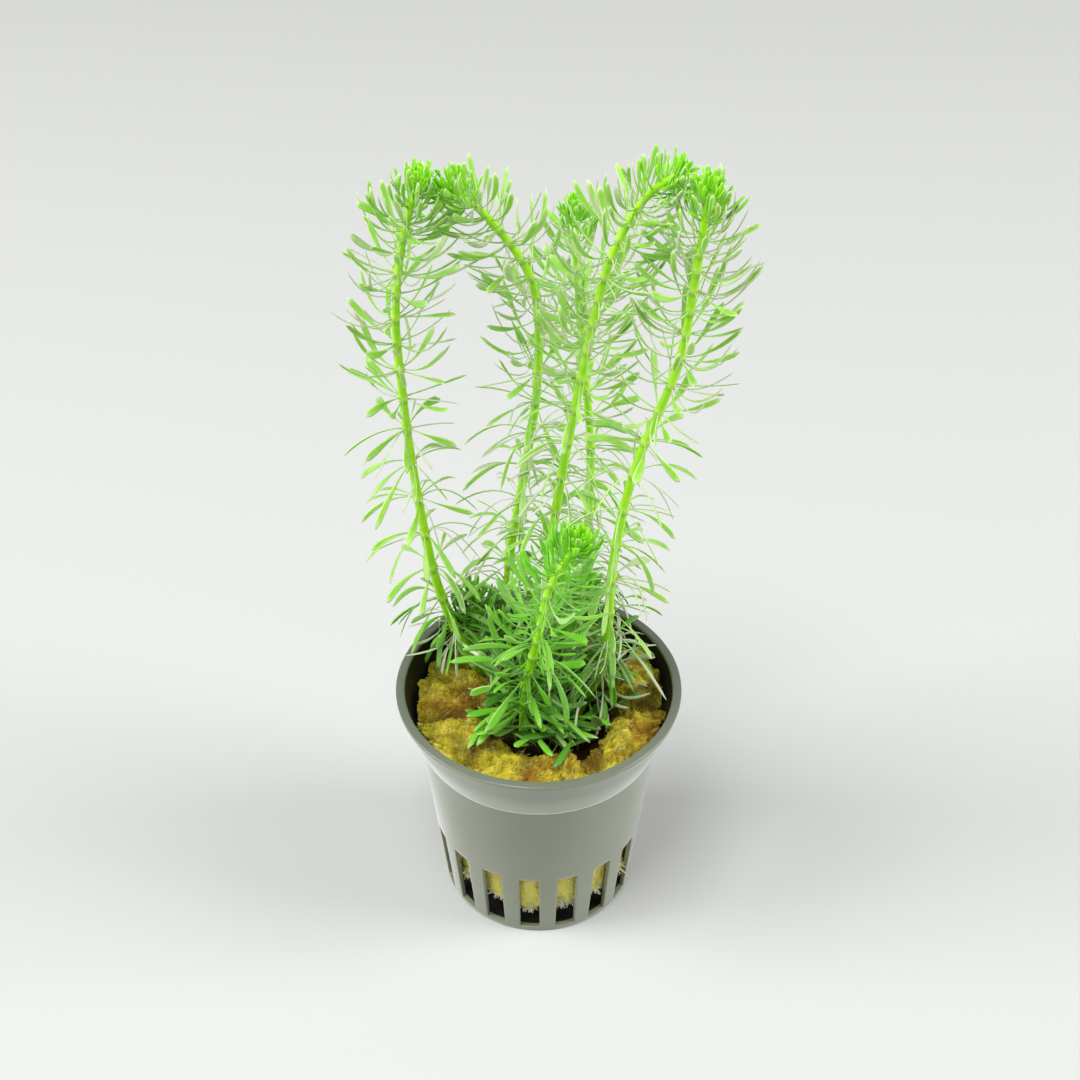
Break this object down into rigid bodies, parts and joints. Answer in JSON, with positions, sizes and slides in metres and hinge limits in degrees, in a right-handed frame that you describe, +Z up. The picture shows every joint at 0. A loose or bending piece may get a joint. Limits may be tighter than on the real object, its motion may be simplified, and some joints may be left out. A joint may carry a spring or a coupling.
{
  "type": "potted aquarium plant",
  "caption": "Leafy aquarium stem plant growing from a torn roll of rock wool in a round plastic pot with a slotted wall.",
  "frame": {"origin": "the middle of the pot's flat underside, which is where the plant stands", "axes": "+Z up along the pot's axis, which is also the plant's longest extent; -Y towards the side that the picture shows, +X to its right"},
  "size_m": [0.0686, 0.0572, 0.164],
  "materials": {
    "net_pot": "satin",
    "rock_wool": "matte",
    "plant": "satin"
  },
  "bodies": {
    "root": {"net_pot": "net_pot", "rock_wool": "rock_wool", "stem_left": "plant", "stem_left_arch": "plant", "stem_back": "plant", "stem_right_arch": "plant", "stem_right": "plant", "shoot_front": "plant", "shoot_back_left": "plant", "shoot_right": "plant"}
  },
  "joints": []
}
